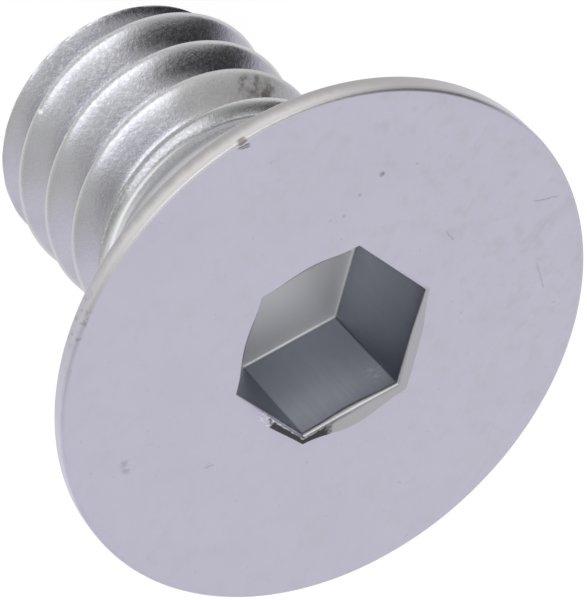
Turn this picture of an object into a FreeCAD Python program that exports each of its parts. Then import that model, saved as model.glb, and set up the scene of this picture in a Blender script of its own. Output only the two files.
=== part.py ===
"""Countersunk socket head bolt with a hexagon socket and a coarse right-hand thread.

The bolt is one solid. It stands on its tip: the tip's flat end lies on z = 0 around the
origin, +Z runs along the axis and the head's flat face looks up. All lengths are in
millimetres and all angles in degrees.
"""
import FreeCAD, Part
import math
import os

# Head
head_diameter = 12.3
head_land = 0.41
head_edge_round = 0.08
cone_angle = 82.0
overall_length = 9.525

# Thread, a quarter inch across with twenty turns to the inch
thread_diameter = 6.35
thread_pitch = 1.27
thread_flank_angle = 30.0
thread_crest_flat = 0.12
thread_root_flat = 0.3
thread_start_angle = 122.0

# Bare neck between the cone and the thread, as wide as the bar before its thread was rolled
neck_below_crest = 0.27
neck_length = 0.3
neck_taper_angle = 45.0

# The head was upset a little to one side, so the threaded end isn't at its middle
shank_offset_x = 0.12

# Tip
tip_chamfer = 0.31
tip_chamfer_angle = 45.0

# Hexagon socket, punched nearly in line with the threaded end
socket_across_flats = 3.97
socket_depth = 2.77
socket_turn = 25.5
socket_offset_x = 0.17
socket_offset_y = 0.06
socket_mouth_diameter = 4.24
socket_mouth_angle = 90.0

# How far a cutting solid reaches past the face that it opens
cut_over = 1.0

UP = FreeCAD.Vector(0, 0, 1)
AXIS_FOOT = FreeCAD.Vector(0, 0, 0)


def tan_deg(angle):
    """Tangent of an angle in degrees."""
    return math.tan(math.radians(angle))


def thread_depth():
    """Height of the ridge: what its two flanks leave between the crest's flat and the root's."""
    return (thread_pitch - thread_crest_flat - thread_root_flat) / 2 / tan_deg(thread_flank_angle)


def revolved(outline):
    """Turn a closed outline of edges in the half plane about the bolt's axis."""
    return Part.Face(Part.Wire(outline)).revolve(AXIS_FOOT, UP, 360)


def at(radius, height):
    """Point at a radius and a height in the half plane that is turned about the axis."""
    return FreeCAD.Vector(radius, 0, height)


def polyline(points):
    """Straight edges through the points and back to the first one."""
    closed = points + points[:1]
    return [Part.LineSegment(a, b).toShape() for a, b in zip(closed, closed[1:])]


def neck_radius():
    """Radius of the bare neck."""
    return thread_diameter / 2 - neck_below_crest


def cone_foot():
    """Height at which the cone has come in to the neck's radius."""
    return overall_length - head_land - (head_diameter / 2 - neck_radius()) / tan_deg(cone_angle / 2)


def head():
    """Head with its rounded face edge, its land and its cone, which ends inside the neck."""
    radius = head_diameter / 2
    land_foot = overall_length - head_land
    edge = min(head_edge_round, head_land / 3)
    bend = edge * (1 - math.sqrt(0.5))
    sunk = 2 * abs(shank_offset_x)
    sunk_radius = neck_radius() - sunk
    sunk_height = cone_foot() - sunk / tan_deg(cone_angle / 2)
    outline = [
        Part.LineSegment(at(0, overall_length), at(radius - edge, overall_length)).toShape(),
        Part.Arc(
            at(radius - edge, overall_length),
            at(radius - bend, overall_length - bend),
            at(radius, overall_length - edge),
        ).toShape(),
        Part.LineSegment(at(radius, overall_length - edge), at(radius, land_foot)).toShape(),
        Part.LineSegment(at(radius, land_foot), at(sunk_radius, sunk_height)).toShape(),
        Part.LineSegment(at(sunk_radius, sunk_height), at(0, sunk_height)).toShape(),
        Part.LineSegment(at(0, sunk_height), at(0, overall_length)).toShape(),
    ]
    return revolved(outline)


def tip_radius():
    """Radius of the tip's flat end, inside its chamfer."""
    return thread_diameter / 2 - tip_chamfer


def core():
    """Core of the threaded end: the neck, sunk into the cone, then a taper to the thread's root.

    At the tip the groove runs out, which leaves a rim as wide as the flat end.
    """
    root_radius = thread_diameter / 2 - thread_depth()
    rim_height = (tip_radius() - root_radius) * tan_deg(thread_flank_angle)
    neck_foot = cone_foot() - neck_length
    root_top = neck_foot - (neck_radius() - root_radius) / tan_deg(neck_taper_angle)
    top = cone_foot() + (overall_length - head_land - cone_foot()) / 3
    return revolved(polyline([
        at(0, 0),
        at(tip_radius(), 0),
        at(root_radius, rim_height),
        at(root_radius, root_top),
        at(neck_radius(), neck_foot),
        at(neck_radius(), top),
        at(0, top),
    ]))


def thread_ridge():
    """The thread's ridge, swept up a right-hand helix from under the tip into the cone.

    Its section has straight flanks. They go on a little above the crest, where the ridge is
    trimmed later, and a little below the root, where it joins the core.
    """
    crest_radius = thread_diameter / 2
    peak_half = thread_crest_flat / 4
    foot_half = (thread_pitch - thread_root_flat / 2) / 2
    slope = tan_deg(thread_flank_angle)
    peak_radius = crest_radius + (thread_crest_flat / 2 - peak_half) / slope
    foot_radius = peak_radius - (foot_half - peak_half) / slope
    cone_reach = (head_diameter / 2 - crest_radius) / tan_deg(cone_angle / 2)
    run_in = thread_pitch
    run_out = thread_pitch / 4
    height = run_in + overall_length - head_land - cone_reach + run_out
    helix = Part.makeLongHelix(thread_pitch, height, crest_radius)
    section = Part.Wire(polyline([
        at(foot_radius, -foot_half),
        at(peak_radius, -peak_half),
        at(peak_radius, peak_half),
        at(foot_radius, foot_half),
    ]))
    sweep = Part.BRepOffsetAPI.MakePipeShell(Part.Wire(helix.Edges))
    sweep.setFrenetMode(True)
    sweep.add(section)
    sweep.build()
    sweep.makeSolid()
    ridge = sweep.shape()
    ridge.translate(UP * -run_in)
    ridge.rotate(AXIS_FOOT, UP, thread_start_angle)
    return ridge


def tip_envelope():
    """Space that the threaded end may fill: a cylinder of the crest diameter with a chamfered tip."""
    crest_radius = thread_diameter / 2
    chamfer_height = tip_chamfer / tan_deg(tip_chamfer_angle)
    top = overall_length - head_land
    return revolved(polyline([
        at(0, 0),
        at(tip_radius(), 0),
        at(crest_radius, chamfer_height),
        at(crest_radius, top),
        at(0, top),
    ]))


def socket():
    """Hexagon socket with a flat floor and a conical mouth, as a solid to cut away."""
    centre = FreeCAD.Vector(socket_offset_x, socket_offset_y, overall_length - socket_depth)
    corner_radius = socket_across_flats / 2 / math.cos(math.radians(30))
    corners = []
    for i in range(6):
        turn = math.radians(socket_turn + 60 * i)
        corners.append(centre + FreeCAD.Vector(math.cos(turn), math.sin(turn), 0) * corner_radius)
    prism = Part.Face(Part.Wire(polyline(corners))).extrude(UP * (socket_depth + cut_over))
    mouth_radius = socket_mouth_diameter / 2
    mouth_depth = mouth_radius / tan_deg(socket_mouth_angle / 2)
    mouth_top = mouth_radius + cut_over * tan_deg(socket_mouth_angle / 2)
    mouth = Part.makeCone(0, mouth_top, mouth_depth + cut_over)
    mouth.translate(FreeCAD.Vector(socket_offset_x, socket_offset_y, overall_length - mouth_depth))
    return prism.fuse(mouth)


def threaded_end():
    """Core and thread, moved to their place under the head."""
    thread = thread_ridge().common(tip_envelope())
    end = core().fuse(thread)
    end.translate(FreeCAD.Vector(shank_offset_x, 0, 0))
    return end


def countersunk_bolt():
    """The whole bolt as one solid."""
    blank = head().fuse(threaded_end())
    return blank.cut(socket()).removeSplitter()


def main():
    os.makedirs("parts", exist_ok=True)
    bolt = countersunk_bolt()
    print("solids", len(bolt.Solids), "valid", bolt.isValid(), "volume", round(bolt.Volume, 3))
    bolt.exportStep("parts/countersunk_bolt.step")


main()
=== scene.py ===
"""Countersunk socket head bolt in plated steel, standing on its tip on a pale floor.

The whole bolt is one closed surface worked out with numpy. It is built from rings of points
about the axis (socket, face, land and cone) and from a helical strip that follows the thread.
Lengths are in metres and angles in radians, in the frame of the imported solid, except where a
description says millimetres or degrees.
"""
import logging
import math
from dataclasses import dataclass
from enum import Enum

import bmesh
import bpy
import numpy as np
from mathutils import Matrix, Vector

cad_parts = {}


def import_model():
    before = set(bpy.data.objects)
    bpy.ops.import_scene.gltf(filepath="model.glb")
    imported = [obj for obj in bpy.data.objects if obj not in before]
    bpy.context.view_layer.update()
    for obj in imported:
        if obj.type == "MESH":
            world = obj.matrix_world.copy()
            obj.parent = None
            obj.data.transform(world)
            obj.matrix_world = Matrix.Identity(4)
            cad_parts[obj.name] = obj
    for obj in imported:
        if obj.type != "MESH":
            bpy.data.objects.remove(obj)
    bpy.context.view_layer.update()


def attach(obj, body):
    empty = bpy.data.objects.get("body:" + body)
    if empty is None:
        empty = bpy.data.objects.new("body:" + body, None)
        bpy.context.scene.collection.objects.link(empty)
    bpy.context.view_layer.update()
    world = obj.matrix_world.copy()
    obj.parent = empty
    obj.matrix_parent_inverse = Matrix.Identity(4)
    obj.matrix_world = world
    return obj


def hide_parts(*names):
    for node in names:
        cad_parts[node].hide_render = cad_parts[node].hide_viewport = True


logging.basicConfig(level=logging.INFO, format="%(levelname)s %(message)s")
LOG = logging.getLogger("bolt")

MM = 0.001
PER_METRE = 1000.0
BODY = "root"
NODE = "countersunk_bolt"

# Axes of the head, the socket and the threaded end across the bolt, in millimetres
HEAD_CENTRE = (0.0, 0.0)
SOCKET_CENTRE = (0.17, 0.06)
SHANK_CENTRE = (0.12, 0.0)

# Welding, in millimetres: points this near become one, and shorter edges are dissolved
WELD_DISTANCE = 0.001
SLIVER_LENGTH = 0.0005

# Edges that turn by more than this, in degrees, stay sharp
SHARP_ANGLE = 28.0

# Added before rounding down, so that what lies just short of a whole number counts as it
TINY = 1e-6

Output = bpy.types.NodeSocket
Value = Output | float
Colour = tuple[float, float, float]
Shade = Output | Colour


class Zone(Enum):
    """Stretches of the bolt's surface that have a finish of their own."""

    SOCKET = 0
    MOUTH = 1
    FACE = 2
    LAND = 3
    CONE = 4
    THREAD = 5
    TIP = 6


class Wall(Enum):
    """Directions from the socket's axis to the middle of three of its walls, in degrees."""

    LOWER = -124.5
    RIGHT = -64.5
    LEFT = 175.5


def smooth_max(a: np.ndarray, b: np.ndarray, width: float) -> np.ndarray:
    """Larger of two values, with the corner between them rounded.

    Half the sum plus half the root of the squared difference and the squared width.

    Args:
        a: First values.
        b: Second values.
        width: How wide the rounded corner is.

    Returns:
        The rounded maximum, value by value.
    """
    return 0.5 * (a + b + np.sqrt((a - b) ** 2 + width**2))


def smooth_min(a: np.ndarray, b: np.ndarray, width: float) -> np.ndarray:
    """Smaller of two values with a rounded corner: minus the rounded maximum of the negatives."""
    return -smooth_max(-a, -b, width)


def tan_deg(angle: float) -> float:
    """Tangent of an angle in degrees."""
    return math.tan(math.radians(angle))


def ring(
    centre: tuple[float, float],
    angles: np.ndarray,
    radius: np.ndarray | float,
    height: np.ndarray | float,
) -> np.ndarray:
    """Points about a vertical line: its place plus the radius times each angle's cosine and sine.

    Args:
        centre: Where the line stands.
        angles: Angles of the points.
        radius: Their distances from the line.
        height: Their heights.

    Returns:
        Three coordinates for each point.
    """
    x = centre[0] + radius * np.cos(angles)
    y = centre[1] + radius * np.sin(angles)
    return np.stack([x, y, np.broadcast_to(height, x.shape)], -1)


@dataclass
class Turn:
    """Directions around the axis that every ring of the surface shares.

    Args:
        samples: Points in one ring, a multiple of six so that each socket corner has one.
        start: Angle of the first point in degrees, which is the first socket corner's.
    """

    samples: int = 420
    start: float = 25.5

    def angles(self) -> np.ndarray:
        """Angles of a ring's points, evenly spaced from the first socket corner."""
        return math.radians(self.start) + np.arange(self.samples) * 2 * math.pi / self.samples


@dataclass
class Patch:
    """A grid of points whose rows are rings or turns, with its zone.

    Args:
        rows: Array of rows, points and coordinates.
        zone: The surface's zone.
        closed: Whether each row closes on itself.
    """

    rows: np.ndarray
    zone: Zone
    closed: bool = True


@dataclass
class Head:
    """Flat round head: face, rounded edges, land and cone.

    Args:
        diameter: Across the land.
        land: Height of the land.
        cone_angle: Angle between opposite sides of the cone, in degrees.
        top: Height of the face above the tip.
        land_lean: How much deeper than its height the land is on one side.
        lean_angle: Direction of that side in degrees.
        face_round: Radius of the edge between face and land.
        heel_round: Radius of the edge between land and cone.
        cone_rows: Rings on the cone.
        land_rows: Rings on the land.
        arc_rows: Rings on each rounded edge.
        face_rows: Rings on the face.
        nick_angle: Where the nick in the face's edge is, in degrees.
        nick_width: Half width of the nick along the edge.
        nick_depth: How far it goes in.
        nick_height: How far it reaches down the land.
        nick_inner: Share of the head's radius out to which the nick isn't felt.
        nick_fade: Share of the radius over which it grows to its full depth.
    """

    diameter: float = 12.29 * MM
    land: float = 0.41 * MM
    cone_angle: float = 82.0
    top: float = 9.525 * MM
    land_lean: float = 0.09 * MM
    lean_angle: float = -10.0
    face_round: float = 0.08 * MM
    heel_round: float = 0.1 * MM
    cone_rows: int = 25
    land_rows: int = 8
    arc_rows: int = 6
    face_rows: int = 14
    nick_angle: float = 60.5
    nick_width: float = 0.07 * MM
    nick_depth: float = 0.04 * MM
    nick_height: float = 0.07 * MM
    nick_inner: float = 0.97
    nick_fade: float = 0.02

    def cone_radius(self, height: np.ndarray) -> np.ndarray:
        """Radius of the cone: the land's less the drop under it times the half angle's tangent."""
        drop = self.top - self.land - height
        return self.diameter / 2 - drop * tan_deg(self.cone_angle / 2)

    def outline(self, from_height: float) -> np.ndarray:
        """Profile from the cone at a height up to the face's flat edge.

        The heel and the face edge are arcs of a circle.

        Args:
            from_height: Height on the cone where the profile starts.

        Returns:
            Rows of radius and height, going up.
        """
        radius = self.diameter / 2
        half = math.radians(self.cone_angle / 2)
        foot = self.top - self.land
        cut = self.heel_round * math.tan(half / 2)
        heights = np.linspace(from_height, foot - cut * math.cos(half), self.cone_rows + 1)[:-1]
        cone = np.stack([self.cone_radius(heights), heights], 1)
        turn = np.linspace(half, 0, self.arc_rows)
        heel = np.stack([
            radius - self.heel_round + self.heel_round * np.cos(turn),
            foot + cut - self.heel_round * np.sin(turn),
        ], 1)
        rise = np.linspace(0, 1, self.land_rows + 2)[1:-1]
        low, high = foot + cut, self.top - self.face_round
        land = np.stack([np.full_like(rise, radius), low + (high - low) * rise], 1)
        turn = np.linspace(0, math.pi / 2, self.arc_rows)
        edge = np.stack([
            radius - self.face_round + self.face_round * np.cos(turn),
            high + self.face_round * np.sin(turn),
        ], 1)
        return np.concatenate([cone, heel, land, edge])


@dataclass
class Socket:
    """Hexagon socket, punched a little off the axis, with a bevelled mouth and a flat floor.

    Args:
        across_flats: Width between opposite walls.
        depth: From the face to the floor.
        centre: Place of its axis, across the bolt.
        floor_round: Radius between wall and floor.
        mouth_width: How far the worn mouth reaches past the wall, in millimetres, at each
            corner and each wall's middle in turn.
        mouth_round: Radius of its inner edge at the same places.
        mouth_drop: How far it sinks before that edge at the same places.
        slope_rows: Rings on the mouth's slope.
        edge_rows: Rings on the mouth's inner edge.
        wall_rows: Rings on the walls.
        corner_rows: Rings between wall and floor.
        floor_rows: Rings on the floor.
    """

    across_flats: float = 3.97 * MM
    depth: float = 2.77 * MM
    centre: tuple[float, float] = (SOCKET_CENTRE[0] * MM, SOCKET_CENTRE[1] * MM)
    floor_round: float = 0.05 * MM
    mouth_width: tuple[float, ...] = (
        0.02, 0.2, 0.06, 0.2, 0.03, 0.24, 0.2, 0.4, 0.26, 0.22, 0.1, 0.03,
    )
    mouth_round: tuple[float, ...] = (
        0.02, 0.2, 0.06, 0.2, 0.03, 0.08, 0.12, 0.16, 0.1, 0.05, 0.04, 0.03,
    )
    mouth_drop: tuple[float, ...] = (
        0.0, 0.0, 0.0, 0.0, 0.0, 0.03, 0.02, 0.04, 0.02, 0.05, 0.01, 0.0,
    )
    slope_rows: int = 5
    edge_rows: int = 7
    wall_rows: int = 8
    corner_rows: int = 4
    floor_rows: int = 9

    def wall_radius(self, angles: np.ndarray) -> np.ndarray:
        """Distance from the socket's axis to its wall.

        Half the width over the cosine of the angle away from the nearest wall's middle.

        Args:
            angles: Angles of the ring's points.

        Returns:
            A radius for each angle.
        """
        sixth = math.pi / 3
        off = np.mod(angles - angles[0], sixth) - sixth / 2
        return self.across_flats / 2 / np.cos(off)

    def around_mouth(self, values: tuple[float, ...], angles: np.ndarray) -> np.ndarray:
        """Carry values at corners and walls' middles round the mouth, easing from one to the next.

        The share between two neighbours is half of one less the cosine of the way between them.

        Args:
            values: Twelve values in millimetres, starting at the first corner.
            angles: Angles of the ring's points.

        Returns:
            A length for each angle.
        """
        known = np.array(values) * MM
        way = np.mod(angles - angles[0], 2 * math.pi) / (2 * math.pi) * len(known)
        before = np.floor(way + TINY).astype(int)
        share = 0.5 - 0.5 * np.cos((way - before) * math.pi)
        return known[before % len(known)] * (1 - share) + known[(before + 1) % len(known)] * share

    def mouth_rings(self, angles: np.ndarray, top: float) -> list[np.ndarray]:
        """Rings of the worn mouth: a shallow slope in from the face, then a quarter circle.

        Args:
            angles: Angles of the ring's points.
            top: Height of the face.

        Returns:
            The rings, from the face to the wall.
        """
        wall = self.wall_radius(angles)
        width = self.around_mouth(self.mouth_width, angles)
        edge = np.minimum(self.around_mouth(self.mouth_round, angles), width)
        drop = self.around_mouth(self.mouth_drop, angles)
        rings = [
            ring(self.centre, angles, wall + width - (width - edge) * share, top - drop * share)
            for share in np.linspace(0, 1, self.slope_rows)
        ]
        for turn in np.linspace(0, math.pi / 2, self.edge_rows)[1:]:
            radius = wall + edge * (1 - math.sin(turn))
            height = top - drop - edge * (1 - math.cos(turn))
            rings.append(ring(self.centre, angles, radius, height))
        return rings


@dataclass
class Thread:
    """Rolled right-hand thread with a bare neck above it and a chamfered tip below.

    Args:
        diameter: Across the crests.
        pitch: Rise in one turn.
        flank_angle: Angle between a flank and the plane across the axis, in degrees.
        crest_flat: Width of the crest.
        root_flat: Width of the root.
        start_angle: Where the crest leaves the tip's plane, in degrees.
        neck_below_crest: How far the neck lies under the crests.
        neck_length: Length of the neck under the cone.
        tip_chamfer: Chamfer at the tip.
        offset: How far the threaded end lies off the head's centre, along X.
        across_pitch: Faces from one crest to the next.
        crest_round: How rounded the crest is.
        flank_round: How wide the slight bulge of the flanks is.
        flank_share: How much of the ridge's shape that bulge makes up.
        ridge_round: Rounding between the ridge and what it stands on.
        root_round: Rounding between the root and the taper above it.
        neck_round: Rounding between that taper and the neck.
        cone_round: Fillet between the neck and the cone.
        rim_round: Rounding inside the rim that the groove leaves at the tip.
        tip_round: Rounding of the tip's chamfer.
        ring_top: Height up to which the tip is made of rings.
        strip_reach: How far the strip goes up the cone.
        tip_rows: Rings on the tip's flat end.
        side_rows: Rings on the tip's side.
    """

    diameter: float = 6.35 * MM
    pitch: float = 1.27 * MM
    flank_angle: float = 30.0
    crest_flat: float = 0.12 * MM
    root_flat: float = 0.3 * MM
    start_angle: float = 122.0
    neck_below_crest: float = 0.27 * MM
    neck_length: float = 0.3 * MM
    tip_chamfer: float = 0.31 * MM
    offset: float = SHANK_CENTRE[0] * MM
    across_pitch: int = 28
    crest_round: float = 0.04 * MM
    flank_round: float = 0.3 * MM
    flank_share: float = 0.45
    ridge_round: float = 0.1 * MM
    root_round: float = 0.12 * MM
    neck_round: float = 0.08 * MM
    cone_round: float = 0.28 * MM
    rim_round: float = 0.04 * MM
    tip_round: float = 0.02 * MM
    ring_top: float = 0.45 * MM
    strip_reach: float = 0.2 * MM
    tip_rows: int = 12
    side_rows: int = 18

    def depth(self) -> float:
        """Height of the ridge: what the two flanks leave between crest and root flats."""
        run = (self.pitch - self.crest_flat - self.root_flat) / 2
        return run / tan_deg(self.flank_angle)

    def crest_height(self, angles: np.ndarray) -> np.ndarray:
        """Height of the crest: the pitch times the turns since the start angle."""
        return self.pitch * (angles - math.radians(self.start_angle)) / (2 * math.pi)

    def ridge_radius(self, angles: np.ndarray, heights: np.ndarray) -> np.ndarray:
        """Radius of the ridge's flanks at a place.

        Two hyperbolas, a narrow one for the crest and a wide one for the flank's slight bulge.
        Each is what the root of the squared distance and the squared rounding has over the
        rounding. The distance is the one to the nearest crest, up or down.

        Args:
            angles: Angle of each place.
            heights: Height of each place.

        Returns:
            A radius for each place.
        """
        turns = (heights - self.crest_height(angles)) / self.pitch
        away = (np.mod(turns + 0.5, 1.0) - 0.5) * self.pitch
        crest = np.hypot(away, self.crest_round) - self.crest_round
        flank = np.hypot(away, self.flank_round) - self.flank_round
        past = crest * (1 - self.flank_share) + flank * self.flank_share
        return self.diameter / 2 - past / tan_deg(self.flank_angle)


@dataclass
class Bolt:
    """The bolt's one closed surface and its dressing.

    Args:
        head: Sizes of the head.
        socket: Sizes of the socket.
        thread: Sizes of the threaded end.
        turn: Directions of the rings' points.
    """

    head: Head
    socket: Socket
    thread: Thread
    turn: Turn

    def __post_init__(self) -> None:
        """Work out the rings' angles, the threaded end's axis and how high its strip goes."""
        head, thread = self.head, self.thread
        self.angles = self.turn.angles()
        self.shank_centre = (thread.offset, 0.0)
        cone_reach = (head.diameter - thread.diameter) / 2 / tan_deg(head.cone_angle / 2)
        self.strip_top = head.top - head.land - cone_reach + thread.strip_reach

    def core_radius(self, heights: np.ndarray) -> np.ndarray:
        """Radius under the thread's ridge: root, then a taper to the neck, then the cone.

        The taper rises at 45 degrees. At the tip the groove runs out and leaves a rim.

        Args:
            heights: Height of each place.

        Returns:
            A radius for each place.
        """
        thread, head = self.thread, self.head
        neck = thread.diameter / 2 - thread.neck_below_crest
        root = thread.diameter / 2 - thread.depth()
        rim = thread.diameter / 2 - thread.tip_chamfer - heights / tan_deg(thread.flank_angle)
        cone_foot = head.top - head.land - (head.diameter / 2 - neck) / tan_deg(head.cone_angle / 2)
        taper = neck + (heights - (cone_foot - thread.neck_length))
        shank = smooth_min(taper, np.full_like(heights, neck), thread.neck_round)
        shank = smooth_max(np.full_like(heights, root), shank, thread.root_round)
        shank = smooth_max(shank, rim, thread.rim_round)
        return smooth_max(shank, head.cone_radius(heights), thread.cone_round)

    def shank_radius(self, angles: np.ndarray, heights: np.ndarray) -> np.ndarray:
        """Radius of the threaded end: the larger of core and ridge, cut by the tip's chamfer.

        Args:
            angles: Angle of each place.
            heights: Height of each place.

        Returns:
            A radius for each place.
        """
        thread = self.thread
        ridge = thread.ridge_radius(angles, heights)
        body = smooth_max(self.core_radius(heights), ridge, thread.ridge_round)
        tip = thread.diameter / 2 - thread.tip_chamfer + heights
        return smooth_min(body, tip, thread.tip_round)

    def strip(self) -> Patch:
        """Helical strip of the thread, from under the tip up into the cone.

        Each row is one turn angle; across it the height goes from one crest to the next. A
        height past the tip's last ring or past the cone's first one is held there, so that the
        strip's ends fold flat onto those rings.

        Returns:
            The strip, open at its long sides, which meet when the points are welded.
        """
        thread = self.thread
        turns = math.ceil((self.strip_top + 2 * thread.pitch) / thread.pitch)
        whole = np.arange(turns * self.turn.samples + 1)
        angles = self.angles[0] + whole * 2 * math.pi / self.turn.samples
        base = thread.crest_height(angles[:1]) % thread.pitch - 2 * thread.pitch
        rise = base + thread.pitch * (angles - angles[0]) / (2 * math.pi)
        across = np.linspace(0, 1, thread.across_pitch + 1) * thread.pitch
        heights = np.clip(rise[:, None] + across[None, :], thread.ring_top, self.strip_top)
        around = np.broadcast_to(angles[:, None], heights.shape)
        rows = ring(self.shank_centre, around, self.shank_radius(around, heights), heights)
        return Patch(rows, Zone.THREAD, closed=False)

    def head_patches(self) -> list[Patch]:
        """Cone, land and edges as rings, starting on the strip's last ring.

        The land is deeper on one side: its lower edge sinks by the lean times the cosine of the
        angle away from that side. The cone's middle moves from the threaded end's axis to the
        head's on the way up.

        Returns:
            The cone, and the land with its edges.
        """
        head, angles = self.head, self.angles
        profile = head.outline(self.strip_top)
        heel, land = head.cone_rows, head.cone_rows + head.arc_rows
        share = np.zeros((len(profile), 1))
        share[:heel, 0] = np.arange(heel) / heel
        share[heel:land] = 1
        share[land : -head.arc_rows, 0] = np.linspace(1, 0, head.land_rows + 2)[1:-1]
        sink = head.land_lean * np.cos(angles - math.radians(head.lean_angle))
        x = np.zeros_like(share)
        x[:heel] = self.thread.offset * (1 - share[:heel])
        radius = np.repeat(profile[:, :1], len(angles), 1)
        radius[0] = self.shank_radius(angles, np.full_like(angles, self.strip_top))
        rows = ring((x, 0.0), angles, radius, profile[:, 1:] - share * sink)
        return [Patch(rows[: heel + 1], Zone.CONE), Patch(rows[heel:], Zone.LAND)]

    def face_patch(self) -> Patch:
        """Flat face: straight lines from its outer edge to the socket's mouth.

        Returns:
            The face.
        """
        radius = self.head.diameter / 2 - self.head.face_round
        outer = ring((0.0, 0.0), self.angles, radius, self.head.top)
        inner = self.socket.mouth_rings(self.angles, self.head.top)[0]
        share = np.linspace(0, 1, self.head.face_rows)[:, None, None]
        return Patch(outer * (1 - share) + inner * share, Zone.FACE)

    def socket_patches(self) -> list[Patch]:
        """Mouth, walls and floor of the socket as rings about its own axis.

        Returns:
            The mouth, and the walls with the floor.
        """
        socket, angles = self.socket, self.angles
        mouth = socket.mouth_rings(angles, self.head.top)
        wall = socket.wall_radius(angles)
        floor = self.head.top - socket.depth
        bend = socket.floor_round
        share = np.linspace(0, 1, socket.wall_rows)[:, None]
        heights = mouth[-1][:, 2] * (1 - share) + (floor + bend) * share
        walls = [ring(socket.centre, angles, wall, height) for height in heights]
        for turn in np.linspace(0, math.pi / 2, socket.corner_rows)[1:]:
            radius = wall - bend * (1 - math.cos(turn))
            height = floor + bend * (1 - math.sin(turn))
            walls.append(ring(socket.centre, angles, radius, height))
        for share in np.linspace(1, 0, socket.floor_rows):
            walls.append(ring(socket.centre, angles, (wall - bend) * share, floor))
        return [Patch(np.stack(mouth), Zone.MOUTH), Patch(np.stack(walls), Zone.SOCKET)]

    def tip_patches(self) -> list[Patch]:
        """Flat end and lowest side as rings about the threaded end's axis.

        Returns:
            The flat end, and the side up to the strip's first ring.
        """
        angles, thread = self.angles, self.thread
        edge = self.shank_radius(angles, np.zeros_like(angles))
        flat = [
            ring(self.shank_centre, angles, edge * share, 0.0)
            for share in np.linspace(0, 1, thread.tip_rows)
        ]
        side = []
        for share in np.linspace(0, 1, thread.side_rows):
            height = thread.ring_top * share**1.5
            radius = self.shank_radius(angles, np.full_like(angles, height))
            side.append(ring(self.shank_centre, angles, radius, height))
        return [Patch(np.stack(flat), Zone.TIP), Patch(np.stack(side), Zone.THREAD)]

    def nicked(self, points: np.ndarray) -> np.ndarray:
        """Press the nick into the head's upper edge.

        The radius shrinks by the nick's depth times a bell curve of the distance along the edge
        and a share that rises from none at the nick's foot to all at the face.

        Args:
            points: All points of the surface.

        Returns:
            The points with the nick.
        """
        head = self.head
        radius = np.hypot(points[:, 0], points[:, 1])
        along = (np.arctan2(points[:, 1], points[:, 0]) - math.radians(head.nick_angle)) * radius
        bell = np.exp(-((along / head.nick_width) ** 2))
        share = np.clip((points[:, 2] - head.top) / head.nick_height + 1, 0, 1)
        outer = np.clip((radius / head.diameter * 2 - head.nick_inner) / head.nick_fade, 0, 1)
        less = 1 - head.nick_depth * bell * share * outer / np.maximum(radius, MM)
        out = points.copy()
        out[:, :2] *= less[:, None]
        return out

    def build(self) -> bpy.types.Object:
        """Weld all the patches into one closed mesh.

        Returns:
            The bolt's object, at the origin.
        """
        patches = [*self.tip_patches(), self.strip(), *self.head_patches(), self.face_patch()]
        points, faces, zones = [], [], []
        count = 0
        for patch in [*patches, *self.socket_patches()]:
            rows, columns = patch.rows.shape[:2]
            grid = count + np.arange(rows * columns).reshape(rows, columns)
            if patch.closed:
                grid = np.concatenate([grid, grid[:, :1]], 1)
            second, fourth = grid[:-1, 1:], grid[1:, :-1]
            if not patch.closed:
                second, fourth = fourth, second
            quads = np.stack([grid[:-1, :-1], second, grid[1:, 1:], fourth], 2).reshape(-1, 4)
            points.append(patch.rows.reshape(-1, 3))
            faces.append(quads)
            zones.append(np.full(len(quads), patch.zone.value))
            count += rows * columns
        places = self.nicked(np.concatenate(points))
        return weld("bolt_body", places, np.concatenate(faces), np.concatenate(zones))

    def dress(self, piece: bpy.types.Object) -> None:
        """Give the piece the material of each zone, in the order of the zones' numbers."""
        for finish in FINISHES:
            piece.data.materials.append(finish.material())


def weld(name: str, points: np.ndarray, quads: np.ndarray, zones: np.ndarray) -> bpy.types.Object:
    """Make a mesh object of quads, joining the points that lie at one place.

    Args:
        name: Name of the piece.
        points: Place of each point.
        quads: Four point numbers for each face.
        zones: Zone number of each face, kept as its material number.

    Returns:
        The object, linked to the scene.
    """
    mesh = bpy.data.meshes.new(name)
    mesh.vertices.add(len(points))
    mesh.vertices.foreach_set("co", (points * PER_METRE).astype(np.float32).ravel())
    mesh.loops.add(quads.size)
    mesh.loops.foreach_set("vertex_index", quads.astype(np.int32).ravel())
    mesh.polygons.add(len(quads))
    mesh.polygons.foreach_set("loop_start", np.arange(0, quads.size, 4, dtype=np.int32))
    mesh.polygons.foreach_set("material_index", zones.astype(np.int32))
    mesh.update(calc_edges=True)
    work = bmesh.new()
    work.from_mesh(mesh)
    bmesh.ops.remove_doubles(work, verts=work.verts, dist=WELD_DISTANCE)
    bmesh.ops.dissolve_degenerate(work, edges=work.edges, dist=SLIVER_LENGTH)
    bmesh.ops.recalc_face_normals(work, faces=work.faces)
    open_edges = sum(1 for e in work.edges if len(e.link_faces) != 2)
    LOG.info("%s: %d faces, %d open edges", name, len(work.faces), open_edges)
    work.to_mesh(mesh)
    work.free()
    mesh.transform(Matrix.Scale(1 / PER_METRE, 4))
    mesh.shade_smooth()
    mesh.set_sharp_from_angle(angle=math.radians(SHARP_ANGLE))
    piece = bpy.data.objects.new(name, mesh)
    bpy.context.scene.collection.objects.link(piece)
    return piece


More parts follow.
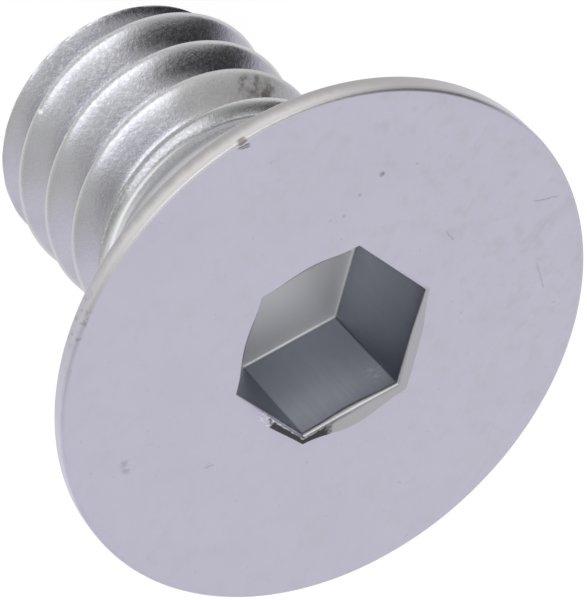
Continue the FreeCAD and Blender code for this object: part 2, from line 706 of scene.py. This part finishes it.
class Nodes:
    """Short ways to fill a shader's node tree. Lengths are in millimetres, angles in degrees."""

    def __init__(self, tree: bpy.types.NodeTree) -> None:
        """Empty the tree and keep it."""
        tree.nodes.clear()
        self.tree = tree

    def add(self, kind: str, inputs: dict | None = None, **options: str | bool) -> bpy.types.Node:
        """Add a node.

        Args:
            kind: Type name of the node.
            inputs: Values or other nodes' sockets for its inputs, by name or number.
            options: Settings of the node itself.

        Returns:
            The node.
        """
        made = self.tree.nodes.new(kind)
        for name, value in options.items():
            setattr(made, name, value)
        for name, value in (inputs or {}).items():
            if isinstance(value, bpy.types.NodeSocket):
                self.tree.links.new(value, made.inputs[name])
            else:
                made.inputs[name].default_value = value
        return made

    def maths(self, operation: str, *values: Value, clamp: bool = False) -> Output:
        """Result of a maths node, held between 0 and 1 if asked."""
        options = {"operation": operation, "use_clamp": clamp}
        return self.add("ShaderNodeMath", dict(enumerate(values)), **options).outputs[0]

    def plus(self, a: Value, b: Value, clamp: bool = False) -> Output:
        """Sum of two values."""
        return self.maths("ADD", a, b, clamp=clamp)

    def less(self, a: Value, b: Value) -> Output:
        """First value less the second."""
        return self.maths("SUBTRACT", a, b)

    def times(self, a: Value, b: Value) -> Output:
        """Product of two values."""
        return self.maths("MULTIPLY", a, b)

    def larger(self, a: Value, b: Value) -> Output:
        """Larger of two values."""
        return self.maths("MAXIMUM", a, b)

    def vector(self, operation: str, a: Value, b: Value | Vector) -> bpy.types.Node:
        """Vector maths node on two vectors."""
        return self.add("ShaderNodeVectorMath", {0: a, 1: b}, operation=operation)

    def smooth(self, value: Value, low: float, high: float) -> Output:
        """Share that eases from 0 at the low value to 1 at the high one, which may lie below it."""
        inputs = {"Value": value, "From Min": low, "From Max": high}
        node = self.add("ShaderNodeMapRange", inputs, interpolation_type="SMOOTHSTEP")
        return node.outputs["Result"]

    def band(self, value: Value, low: float, high: float, soft: float) -> Output:
        """Share that is 1 between two values and eases to 0 outside them.

        Args:
            value: Where it is asked.
            low: Lower end of the band.
            high: Upper end.
            soft: How far to each side of an end the easing reaches.

        Returns:
            The share.
        """
        rise = self.smooth(value, low - soft, low + soft)
        fall = self.smooth(value, high + soft, high - soft)
        return self.times(rise, fall)

    def sector(self, angle: Value, middle: float, half: float, soft: float) -> Output:
        """Share that is 1 within half a sector's angle from its middle direction."""
        turned = self.maths("WRAP", self.less(angle, middle), 180.0, -180.0)
        return self.smooth(self.maths("ABSOLUTE", turned), half + soft, half - soft)

    def mix(self, share: Value, under: Shade, over: Shade) -> Output:
        """Colour between two colours.

        Args:
            share: How much of the upper colour shows.
            under: Lower colour.
            over: Upper colour.

        Returns:
            The colour.
        """
        inputs = {
            "Factor": share,
            "A": (*under, 1.0) if isinstance(under, tuple) else under,
            "B": (*over, 1.0) if isinstance(over, tuple) else over,
        }
        return self.add("ShaderNodeMix", inputs, data_type="RGBA").outputs["Result"]

    def coat(self, under: Shade, over: Colour, share: Value, strength: Value) -> Output:
        """Colour with another laid over it where a share says so, at some strength."""
        return self.mix(self.times(share, strength), under, over)

    def noise(
        self, scale: float, detail: float, stretch: tuple[float, float, float] = (1.0, 1.0, 1.0)
    ) -> Output:
        """Soft noise from 0 to 1, with its scale in turns per millimetre."""
        inputs = {"Vector": self.place(stretch), "Scale": scale, "Detail": detail}
        return self.add("ShaderNodeTexNoise", inputs).outputs["Fac"]

    def place(self, stretch: tuple[float, float, float] = (1.0, 1.0, 1.0)) -> Output:
        """Place on the bolt, stretched along its axes."""
        coords = self.add("ShaderNodeTexCoord").outputs["Object"]
        return self.vector("MULTIPLY", coords, tuple(PER_METRE * s for s in stretch)).outputs[0]

    def across(self, direction: float, centre: tuple[float, float]) -> Output:
        """Distance from a vertical line toward a direction.

        Args:
            direction: The direction.
            centre: Where the line stands.

        Returns:
            The distance, negative on the line's far side.
        """
        turn = math.radians(direction)
        away = self.vector("SUBTRACT", self.place(), (*centre, 0.0)).outputs[0]
        toward = (math.cos(turn), math.sin(turn), 0.0)
        return self.vector("DOT_PRODUCT", away, toward).outputs["Value"]

    def polar(self, centre: tuple[float, float]) -> tuple[Output, Output, Output]:
        """Place about a vertical line.

        Args:
            centre: Where the line stands.

        Returns:
            Angle, radius and height.
        """
        parts = self.add("ShaderNodeSeparateXYZ", {0: self.place()})
        x = self.less(parts.outputs["X"], centre[0])
        y = self.less(parts.outputs["Y"], centre[1])
        angle = self.maths("DEGREES", self.maths("ARCTAN2", y, x))
        radius = self.maths("SQRT", self.plus(self.times(x, x), self.times(y, y)))
        return angle, radius, parts.outputs["Z"]

    def hair(self, start: tuple[float, float], direction: float, length: float) -> Output:
        """Share of a thin wavering line on the face.

        Args:
            start: Where it starts.
            direction: Where it runs to.
            length: How long it is.

        Returns:
            The share, which fades within 0.03 of the line's middle.
        """
        waver = self.times(self.less(self.noise(3.0, 2.0), 0.5), 0.25)
        side = self.plus(self.across(direction + 90.0, start), waver)
        line = self.smooth(self.maths("ABSOLUTE", side), 0.03, 0.008)
        return self.times(line, self.band(self.across(direction, start), 0.0, length, 0.04))

    def spot(self, middle: tuple[float, float], size: tuple[float, float]) -> Output:
        """Share of a round soft spot: 1 within its first size and 0 past its second."""
        _, radius, _ = self.polar(middle)
        return self.smooth(radius, size[1], size[0])


@dataclass(frozen=True)
class Finish:
    """Plated metal of one zone.

    Args:
        zone: The zone.
        colour: Colour of the metal.
        roughness: How blurred its reflections are.
        grain: Size of the grain, in turns per millimetre.
        relief: Height of the grain, in millimetres.
        cloud: How much the colour varies from place to place.
    """

    zone: Zone
    colour: Colour
    roughness: float
    grain: float
    relief: float
    cloud: float = 0.04

    def tone(self, build: Nodes) -> Output:
        """Colour of the bare plating, with slow clouds in it.

        Args:
            build: Node tree of the material.

        Returns:
            The colour.
        """
        dark = tuple(part * (1 - self.cloud) for part in self.colour)
        light = tuple(part * (1 + self.cloud) for part in self.colour)
        return build.mix(build.smooth(build.noise(0.9, 4.0), 0.3, 0.7), dark, light)

    def height(self, build: Nodes) -> Output:
        """Height of the grain from 0 to 1."""
        return build.noise(self.grain, 3.0)

    def dress(self, build: Nodes, colour: Output) -> tuple[Output, Value, Value]:
        """Lay marks over the zone's bare plating. Bare metal has none.

        Args:
            build: Node tree of the material.
            colour: Colour of the bare plating.

        Returns:
            Colour, roughness and metal share.
        """
        return colour, self.roughness, 1.0

    def material(self) -> bpy.types.Material:
        """Make the zone's material.

        Returns:
            The material.
        """
        made = bpy.data.materials.new(f"plated_{self.zone.name.lower()}")
        made.use_nodes = True
        build = Nodes(made.node_tree)
        colour, roughness, metal = self.dress(build, self.tone(build))
        bump = build.add("ShaderNodeBump", {
            "Strength": 1.0,
            "Distance": self.relief * MM,
            "Height": self.height(build),
        })
        shader = build.add("ShaderNodeBsdfPrincipled", {
            "Base Color": colour,
            "Metallic": metal,
            "Roughness": roughness,
            "Normal": bump.outputs[0],
        })
        build.add("ShaderNodeOutputMaterial", {"Surface": shader.outputs[0]})
        return made


@dataclass(frozen=True)
class FaceFinish(Finish):
    """Satin face with a few dark specks, soft blotches and fine scratches on one side.

    Args:
        specks: Middle, inner and outer size, and strength of each speck.
        hairs: Start, direction in degrees, length and strength of each hair mark.
        worn_side: Direction of the side with more blotches, in degrees.
        scratched_side: Direction of the side with scratches, in degrees.
        blotched: Colour of the blotches.
        flecked: Colour of the flecks.
        scratched: Colour of the scratches.
        dirty: Colour of specks and hair marks.
    """

    specks: tuple = (
        ((3.78, 1.73), (0.03, 0.09), 0.8),
        ((3.18, 1.88), (0.02, 0.07), 0.3),
        ((2.64, 1.89), (0.01, 0.07), 0.3),
        ((2.42, 2.12), (0.01, 0.05), 0.3),
        ((4.31, 1.11), (0.01, 0.06), 0.3),
        ((-4.2, 2.6), (0.02, 0.14), 0.3),
        ((-4.08, 2.74), (0.02, 0.16), 0.3),
        ((-3.38, 0.78), (0.02, 0.15), 0.12),
    )
    hairs: tuple = (
        ((4.8, -2.22), -55.0, 0.59, 0.3),
        ((3.41, -0.73), -110.0, 0.31, 0.25),
        ((3.7, -3.38), -127.0, 0.73, 0.22),
        ((-3.42, 0.86), -61.0, 0.19, 0.35),
        ((3.07, 5.17), 150.5, 0.25, 0.85),
        ((3.04, 5.13), 150.5, 0.2, 0.7),
    )
    worn_side: float = -15.0
    scratched_side: float = -50.0
    blotched: Colour = (0.4, 0.395, 0.4)
    flecked: Colour = (0.25, 0.24, 0.23)
    scratched: Colour = (0.62, 0.61, 0.66)
    dirty: Colour = (0.12, 0.11, 0.13)

    def dirt(self, build: Nodes) -> Output:
        """Share of specks with ragged edges and of hair marks.

        Args:
            build: Node tree of the material.

        Returns:
            The share.
        """
        share = 0.0
        for middle, size, strength in self.specks:
            share = build.larger(share, build.times(build.spot(middle, size), strength))
        share = build.times(share, build.smooth(build.noise(9.0, 3.0), 0.3, 0.6))
        for start, direction, length, strength in self.hairs:
            hair = build.times(build.hair(start, direction, length), strength)
            share = build.larger(share, hair)
        return share

    def dress(self, build: Nodes, colour: Output) -> tuple[Output, Value, Value]:
        """Lay blotches, flecks, scratches and dirt over the bare plating.

        Args:
            build: Node tree of the material.
            colour: Colour of the bare plating.

        Returns:
            Colour, roughness and metal share.
        """
        blotches = build.smooth(build.noise(3.0, 9.0), 0.46, 0.74)
        side = build.smooth(build.across(self.worn_side, HEAD_CENTRE), 0.0, 5.5)
        worn = build.plus(0.12, build.times(side, 0.2))
        colour = build.coat(colour, self.blotched, blotches, worn)
        flecks = build.smooth(build.noise(7.5, 2.0), 0.7, 0.78)
        colour = build.coat(colour, self.flecked, flecks, 0.22)
        scratches = build.smooth(build.noise(1.2, 3.0, (0.5, 14.0, 1.0)), 0.56, 0.7)
        side = build.smooth(build.across(self.scratched_side, HEAD_CENTRE), -0.5, 5.0)
        colour = build.coat(colour, self.scratched, build.times(scratches, side), 0.16)
        return build.mix(self.dirt(build), colour, self.dirty), self.roughness, 1.0


@dataclass(frozen=True)
class LandFinish(Finish):
    """Land with a painted highlight on its upper part on one side and a brownish painted dark
    reflection under it.

    Args:
        nick: Middle of the nick in the upper edge.
        edge: Heights between which the rounded upper edge begins.
        painted_dark_reflection: Colour of the painted dark reflection.
        specked: Colour of the specks in it.
        painted_highlight: Colour of the painted highlight.
        pale: Colour of the rounded edge where it is rubbed pale.
        nicked: Colour in the nick.
    """

    nick: tuple[float, float] = (3.0, 5.28)
    edge: tuple[float, float] = (9.42, 9.46)
    painted_dark_reflection: Colour = (0.4, 0.385, 0.385)
    specked: Colour = (0.22, 0.2, 0.2)
    painted_highlight: Colour = (0.68, 0.668, 0.663)
    pale: Colour = (0.6, 0.59, 0.66)
    nicked: Colour = (0.2, 0.17, 0.15)

    def dress(self, build: Nodes, colour: Output) -> tuple[Output, Value, Value]:
        """Lay the painted dark reflection, the painted highlight, the pale edge and the nick over
        the bare plating.

        Args:
            build: Node tree of the material.
            colour: Colour of the bare plating.

        Returns:
            Colour, roughness and metal share.
        """
        angle, _, height = build.polar(HEAD_CENTRE)
        # Painted reflection: a brownish dark reflection laid over half the land.
        colour = build.mix(build.sector(angle, 54.0, 50.0, 24.0), colour, self.painted_dark_reflection)
        specks = build.smooth(build.noise(7.0, 4.0), 0.54, 0.66)
        specks = build.times(specks, build.sector(angle, 107.0, 8.0, 6.0))
        colour = build.coat(colour, self.specked, specks, 0.5)
        ragged = build.times(build.noise(5.0, 4.0, (1.0, 1.0, 0.4)), 0.16)
        # Painted highlight on the land's upper part on one side, with a ragged lower edge.
        upper = build.smooth(build.plus(height, build.less(ragged, 0.08)), 9.15, 9.42)
        colour = build.coat(colour, self.painted_highlight, upper, build.sector(angle, 67.0, 30.0, 16.0))
        edge = build.smooth(height, *self.edge)
        pale = build.times(edge, build.sector(angle, -52.0, 52.0, 10.0))
        colour = build.mix(pale, colour, self.pale)
        nick = build.times(build.spot(self.nick, (0.06, 0.14)), edge)
        colour = build.coat(colour, self.nicked, nick, 0.75)
        rough = build.plus(self.roughness, build.times(edge, 0.15))
        return colour, rough, build.less(1.0, build.times(pale, 0.85))


@dataclass(frozen=True)
class MouthFinish(Finish):
    """Worn socket mouth: grey where the key has rubbed and black residue at one corner.

    Args:
        wall: Distance from the socket's axis at which the walls begin.
        rubbed: Colour of the rubbed stretch.
        streaked: Colour of the shiny streaks.
        residue: Colour of the residue.
    """

    wall: float = 1.985
    rubbed: Colour = (0.42, 0.42, 0.425)
    streaked: Colour = (0.85, 0.85, 0.86)
    residue: Colour = (0.02, 0.02, 0.022)

    def dress(self, build: Nodes, colour: Output) -> tuple[Output, Value, Value]:
        """Lay the rubbed grey, the streaks and the residue over the bare plating.

        Args:
            build: Node tree of the material.
            colour: Colour of the bare plating.

        Returns:
            Colour, roughness and metal share.
        """
        angle, _, _ = build.polar(SOCKET_CENTRE)
        colour = build.mix(build.sector(angle, -95.0, 62.0, 4.0), colour, self.rubbed)
        streaks = build.smooth(build.noise(1.8, 4.0, (14.0, 4.0, 1.0)), 0.5, 0.62)
        streaks = build.times(streaks, build.sector(angle, -174.0, 17.0, 5.0))
        colour = build.coat(colour, self.streaked, streaks, 0.7)
        lower, left = (build.across(w.value, SOCKET_CENTRE) for w in (Wall.LOWER, Wall.LEFT))
        past = build.less(build.larger(lower, left), self.wall)
        ragged = build.less(build.noise(7.0, 5.0), 0.5)
        reach = build.plus(build.sector(angle, -160.0, 20.0, 12.0), build.times(ragged, 1.2))
        outer = build.smooth(build.plus(past, build.times(ragged, 0.12)), 0.07, 0.1)
        black = build.times(build.smooth(reach, 0.35, 0.7), outer)
        return build.mix(black, colour, self.residue), self.roughness, build.less(1.0, black)


@dataclass(frozen=True)
class SocketFinish(Finish):
    """Bluish walls darkened with painted shade, over a floor painted pale as if lit.

    Args:
        half_wall: Half the angle that one wall takes up, in degrees.
        wall_soft: How far from there a wall's painted shade and light fade, in degrees.
        pale: Colour of the painted light on the lower wall near the face.
        brushed: Colour of the brush marks.
        painted_shade: Colour of the painted shade on the walls.
        scuffed: Colour of the scuff.
        floor: Colour of the floor, painted near white as if lit.
    """

    half_wall: float = 30.3
    wall_soft: float = 0.6
    pale: Colour = (0.7, 0.705, 0.74)
    brushed: Colour = (0.3, 0.32, 0.37)
    painted_shade: Colour = (0.13, 0.14, 0.165)
    scuffed: Colour = (0.8, 0.8, 0.82)
    floor: Colour = (0.96, 0.955, 0.93)

    def dress(self, build: Nodes, colour: Output) -> tuple[Output, Value, Value]:
        """Paint shade on the walls toward some corners and light on the lower wall near the face,
        scuff one and lay the floor's painted pale tone.

        Args:
            build: Node tree of the material.
            colour: Colour of the bare plating.

        Returns:
            Colour, roughness and metal share.
        """
        angle, _, height = build.polar(SOCKET_CENTRE)
        lower, right, left = (
            build.sector(angle, wall.value, self.half_wall, self.wall_soft) for wall in Wall
        )
        # Painted light: the lower wall is lighter near the face, where light falls into the socket.
        deep = build.smooth(height, 9.3, 7.0)
        pale = build.times(lower, build.smooth(deep, 0.6, 0.0))
        colour = build.coat(colour, self.pale, pale, 0.7)
        # Painted shade: the lower wall darker with depth and along one side, the right wall darker,
        # most at its corner with the lower wall, and the left wall a little darker.
        along = build.smooth(build.across(-34.5, SOCKET_CENTRE), 0.9, -1.2)
        corner = build.sector(angle, -94.5, 6.0, 18.0)
        painted_shade = build.times(lower, build.times(deep, build.plus(0.68, build.times(along, 0.16))))
        painted_shade = build.plus(painted_shade, build.times(right, build.plus(0.5, build.times(corner, 0.3))))
        painted_shade = build.plus(painted_shade, build.times(left, 0.25), clamp=True)
        marks = build.smooth(build.noise(1.5, 3.0, (6.0, 6.0, 0.3)), 0.35, 0.65)
        colour = build.coat(colour, self.brushed, marks, 0.12)
        colour = build.mix(painted_shade, colour, self.painted_shade)
        near = build.times(build.sector(angle, -99.0, 3.0, 5.0), build.band(height, 8.7, 9.1, 0.15))
        scuff = build.smooth(build.noise(3.0, 4.0, (2.0, 2.0, 5.0)), 0.52, 0.62)
        colour = build.coat(colour, self.scuffed, near, scuff)
        # Painted light: the floor is laid near white, paler than the walls, as if lit.
        floor = build.smooth(height, 6.82, 6.77)
        rough = build.plus(self.roughness, build.times(floor, 0.28))
        return build.mix(floor, colour, self.floor), rough, 1.0


@dataclass(frozen=True)
class ThreadFinish(Finish):
    """Grainy rolled thread with a dull brown stain in its last groove, paler crests, a painted
    mottled highlight on one side, and painted shade and highlights under the head.

    Args:
        worn: Colour of the crests.
        light: Colour of the light grains, laid only where the highlight falls, as a painted mottled
            highlight.
        dark: Colour of the dark grains, laid in the same place, mottling that painted highlight.
        neck: Colour of the neck, darker as painted shade under the head.
        rubbed: Colour of the broken rings of painted highlight on the neck.
        painted_fillet_highlight: Colour of the painted highlight on the fillet under the head.
        cone: Colour of the cone.
        chipped: Colour of the chips.
        chips: Middle of each chip on the crests.
        dull: Colour of the dull film in the last groove.
        stain: Colour of the stain in it.
    """

    worn: Colour = (0.66, 0.655, 0.64)
    light: Colour = (0.72, 0.72, 0.74)
    dark: Colour = (0.36, 0.355, 0.37)
    neck: Colour = (0.36, 0.36, 0.37)
    rubbed: Colour = (0.6, 0.6, 0.61)
    painted_fillet_highlight: Colour = (0.86, 0.86, 0.88)
    cone: Colour = (0.54, 0.54, 0.555)
    chipped: Colour = (0.95, 0.95, 0.95)
    chips: tuple = ((-0.22, 3.15, 2.38), (-0.27, 3.15, 1.28))
    dull: Colour = (0.6, 0.595, 0.585)
    stain: Colour = (0.14, 0.11, 0.095)

    def under_head(self, build: Nodes, colour: Output, height: Output) -> Output:
        """Lay painted shade on the neck, broken rings of painted highlight, a painted highlight on
        the fillet, and the cone's tone.

        Args:
            build: Node tree of the material.
            colour: Colour so far.
            height: Height above the tip.

        Returns:
            The colour.
        """
        # Painted shade on the neck under the head.
        colour = build.coat(colour, self.neck, build.smooth(height, 4.78, 4.9), 0.9)
        # Broken rings of painted highlight near the neck.
        rings = build.larger(
            build.band(height, 4.97, 5.12, 0.05), build.band(height, 4.7, 4.8, 0.03)
        )
        broken = build.smooth(build.noise(14.0, 5.0, (1.0, 1.0, 1.6)), 0.42, 0.66)
        colour = build.coat(colour, self.rubbed, build.times(rings, broken), 0.55)
        # Painted highlight on the fillet under the head.
        colour = build.coat(colour, self.painted_fillet_highlight, build.smooth(height, 5.1, 5.2), 0.9)
        return build.mix(build.smooth(height, 5.42, 5.75), colour, self.cone)

    def dress(self, build: Nodes, colour: Output) -> tuple[Output, Value, Value]:
        """Lay the rubbed crests, grains with a painted mottled highlight, painted light and shade
        under the head, chips and stain over the bare plating.

        Args:
            build: Node tree of the material.
            colour: Colour of the bare plating.

        Returns:
            Colour, roughness and metal share.
        """
        angle, radius, height = build.polar(SHANK_CENTRE)
        colour = build.coat(colour, self.worn, build.smooth(radius, 3.1, 3.16), 0.35)
        # Real grain, laid in colour only on the side where the highlight falls, so it mottles a
        # painted highlight.
        grains = build.noise(12.0, 3.0)
        near = build.sector(angle, 70.0, 24.0, 16.0)
        light = build.smooth(grains, 0.54, 0.66)
        colour = build.coat(colour, self.light, light, build.times(near, 0.45))
        dark = build.smooth(grains, 0.46, 0.34)
        colour = build.coat(colour, self.dark, dark, build.times(near, 0.3))
        colour = self.under_head(build, colour, height)
        for middle in self.chips:
            away = build.vector("DISTANCE", build.place(), middle).outputs["Value"]
            colour = build.mix(build.smooth(away, 0.1, 0.05), colour, self.chipped)
        last = build.band(height, 3.35, 4.3, 0.3)
        dull = build.times(build.sector(angle, 19.0, 33.0, 10.0), last)
        colour = build.coat(colour, self.dull, dull, 0.85)
        groove = build.times(build.sector(angle, 12.0, 16.0, 14.0), last)
        stain = build.smooth(build.plus(groove, build.noise(4.0, 5.0)), 1.25, 1.6)
        colour = build.coat(colour, self.stain, stain, 0.8)
        mottle = build.times(build.noise(11.0, 2.0), 0.16)
        cone = build.times(build.smooth(height, 5.42, 5.75), 0.14)
        rough = build.plus(self.roughness - 0.08, build.plus(mottle, cone))
        return colour, rough, build.less(1.0, build.times(dull, 0.75))

    def height(self, build: Nodes) -> Output:
        """Fine grain with a coarser one under it."""
        coarse = build.noise(self.grain / 2.6, 3.0)
        return build.plus(build.noise(self.grain, 3.0), build.times(coarse, 1.6))


FINISHES = (
    # The socket's colour is set darker than the rest, which paints the shade inside it.
    SocketFinish(Zone.SOCKET, (0.485, 0.51, 0.585), 0.3, 5.0, 0.001),
    MouthFinish(Zone.MOUTH, (0.52, 0.505, 0.58), 0.3, 9.0, 0.004),
    FaceFinish(Zone.FACE, (0.527, 0.52, 0.58), 0.3, 12.0, 0.0006, 0.012),
    LandFinish(Zone.LAND, (0.55, 0.54, 0.625), 0.32, 9.0, 0.004),
    Finish(Zone.CONE, (0.54, 0.54, 0.555), 0.42, 12.0, 0.003),
    ThreadFinish(Zone.THREAD, (0.53, 0.525, 0.56), 0.26, 26.0, 0.0022),
    Finish(Zone.TIP, (0.5, 0.5, 0.52), 0.35, 8.0, 0.003),
)


@dataclass
class Camera:
    """Camera at the photograph's viewing angle.

    Args:
        aim: Point that its sight line goes through.
        distance: From that point to the camera.
        azimuth: Direction of the camera around the vertical, in degrees.
        elevation: Height of the camera over the floor's plane, in degrees.
        roll: Turn about the sight line, in degrees.
        lens: Focal length in millimetres.
        sensor: Width of the sensor in millimetres.
        clip_start: Nearest distance that is seen.
    """

    aim: tuple[float, float, float] = (0.599 * MM, 1.642 * MM, 9.525 * MM)
    distance: float = 104.133 * MM
    azimuth: float = 75.195
    elevation: float = 45.734
    roll: float = -136.983
    lens: float = 306.57
    sensor: float = 36.0
    clip_start: float = 0.001

    def place(self) -> None:
        """Put the camera on its sight line and turn it about that line."""
        az, el, roll = (math.radians(a) for a in (self.azimuth, self.elevation, self.roll))
        back = Vector((math.cos(el) * math.cos(az), math.cos(el) * math.sin(az), math.sin(el)))
        side = Vector((-math.sin(az), math.cos(az), 0))
        level = back.cross(side)
        up = level * math.cos(roll) + side * math.sin(roll)
        right = up.cross(back)
        data = bpy.data.cameras.new("view")
        data.lens = self.lens
        data.sensor_width = self.sensor
        data.clip_start = self.clip_start
        camera = bpy.data.objects.new("view", data)
        turn = Matrix((right, up, back)).transposed().to_4x4()
        camera.matrix_world = Matrix.Translation(Vector(self.aim) + back * self.distance) @ turn
        bpy.context.scene.collection.objects.link(camera)
        bpy.context.scene.camera = camera


@dataclass(frozen=True)
class Patchlight:
    """A soft patch of the studio's surroundings, as metal sees it.

    Args:
        azimuth: Direction of its middle around the vertical, in degrees.
        elevation: Height of its middle above the floor, in degrees.
        inner: Angle from its middle out to where it is still full, in degrees.
        outer: Angle from its middle out to where it has faded away, in degrees.
        colour: Its colour and brightness.
    """

    azimuth: float
    elevation: float
    inner: float
    outer: float
    colour: Colour

    def axis(self) -> Vector:
        """Direction of the patch's middle."""
        az, el = math.radians(self.azimuth), math.radians(self.elevation)
        return Vector((math.cos(el) * math.cos(az), math.cos(el) * math.sin(az), math.sin(el)))


@dataclass
class Studio:
    """Pale floor and soft surroundings.

    Args:
        patches: Soft patches, each laid over the ones before it.
        surroundings: Colour of the rest of the surroundings, high up.
        horizon: Their colour at the horizon.
        horizon_fade: Height at which the horizon's colour has faded away.
        floor_size: Width of the floor.
        floor_colour: Colour of the floor in the light.
        floor_glow: How much of the floor's look is an even glow.
        floor_strength: Brightness of that glow.
    """

    patches: tuple[Patchlight, ...] = (
        Patchlight(255, 46, 30, 75, (0.97, 0.96, 1.01)),
        Patchlight(200, 30, 10, 45, (0.92, 0.9, 1.0)),
        Patchlight(300, 22, 10, 40, (0.86, 0.85, 0.93)),
        Patchlight(87, 41, 7, 18, (2.05, 2.09, 2.2)),
        Patchlight(62, 41, 7, 18, (2.0, 2.03, 2.12)),
        Patchlight(38, 41, 6, 18, (2.2, 2.22, 2.26)),
        Patchlight(-26, 52, 15, 27, (0.005, 0.004, 0.004)),
        Patchlight(-42, 38, 14, 24, (0.005, 0.004, 0.004)),
        Patchlight(-36, 20, 5, 18, (0.03, 0.03, 0.03)),
    )
    surroundings: Colour = (0.68, 0.69, 0.66)
    horizon: Colour = (1.1, 1.1, 1.12)
    horizon_fade: float = 0.35
    floor_size: float = 2.0
    floor_colour: Colour = (0.9, 0.9, 0.9)
    floor_glow: float = 0.85
    floor_strength: float = 1.08

    def world(self) -> None:
        """Surroundings as a sum of soft patches over an even grey, and white for the camera."""
        world = bpy.data.worlds.new("studio")
        world.use_nodes = True
        build = Nodes(world.node_tree)
        toward = build.add("ShaderNodeTexCoord").outputs["Generated"]
        height = build.add("ShaderNodeSeparateXYZ", {0: toward}).outputs["Z"]
        high = build.smooth(height, 0.0, self.horizon_fade)
        colour = build.mix(high, self.horizon, self.surroundings)
        for patch in self.patches:
            facing = build.vector("DOT_PRODUCT", toward, patch.axis()).outputs["Value"]
            outer, inner = (math.cos(math.radians(a)) for a in (patch.outer, patch.inner))
            share = build.smooth(facing, outer, inner)
            colour = build.mix(share, colour, patch.colour)
        seen = build.add("ShaderNodeLightPath").outputs["Is Camera Ray"]
        colour = build.mix(seen, colour, (1.0, 1.0, 1.0))
        back = build.add("ShaderNodeBackground", {"Color": colour})
        build.add("ShaderNodeOutputWorld", {"Surface": back.outputs[0]})
        bpy.context.scene.world = world

    def floor(self) -> None:
        """Large pale floor that looks white and still takes a faint shadow."""
        half = self.floor_size / 2
        mesh = bpy.data.meshes.new("floor")
        corners = [(-half, -half, 0), (half, -half, 0), (half, half, 0), (-half, half, 0)]
        mesh.from_pydata(corners, [], [(0, 1, 2, 3)])
        floor = bpy.data.objects.new("floor", mesh)
        bpy.context.scene.collection.objects.link(floor)
        made = bpy.data.materials.new("floor")
        made.use_nodes = True
        build = Nodes(made.node_tree)
        seen = build.add("ShaderNodeLightPath")
        direct = build.larger(seen.outputs["Is Camera Ray"], seen.outputs["Is Glossy Ray"])
        direct = build.larger(direct, seen.outputs["Is Transmission Ray"])
        share = build.times(direct, self.floor_glow)
        matt = build.add("ShaderNodeBsdfDiffuse", {"Color": (*self.floor_colour, 1)})
        glow = build.add("ShaderNodeEmission", {"Strength": self.floor_strength})
        mix = build.add("ShaderNodeMixShader", {0: share, 1: matt.outputs[0], 2: glow.outputs[0]})
        build.add("ShaderNodeOutputMaterial", {"Surface": mix.outputs[0]})
        mesh.materials.append(made)


def main() -> None:
    """Load the frame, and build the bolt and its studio."""
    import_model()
    bolt = Bolt(Head(), Socket(), Thread(), Turn())
    piece = bolt.build()
    bolt.dress(piece)
    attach(piece, BODY)
    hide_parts(NODE)
    Camera().place()
    studio = Studio()
    studio.world()
    studio.floor()
    LOG.info("studio: floor and %d soft patches", len(studio.patches))
    bpy.context.scene.view_settings.view_transform = "Standard"


if __name__ == "__main__":
    main()
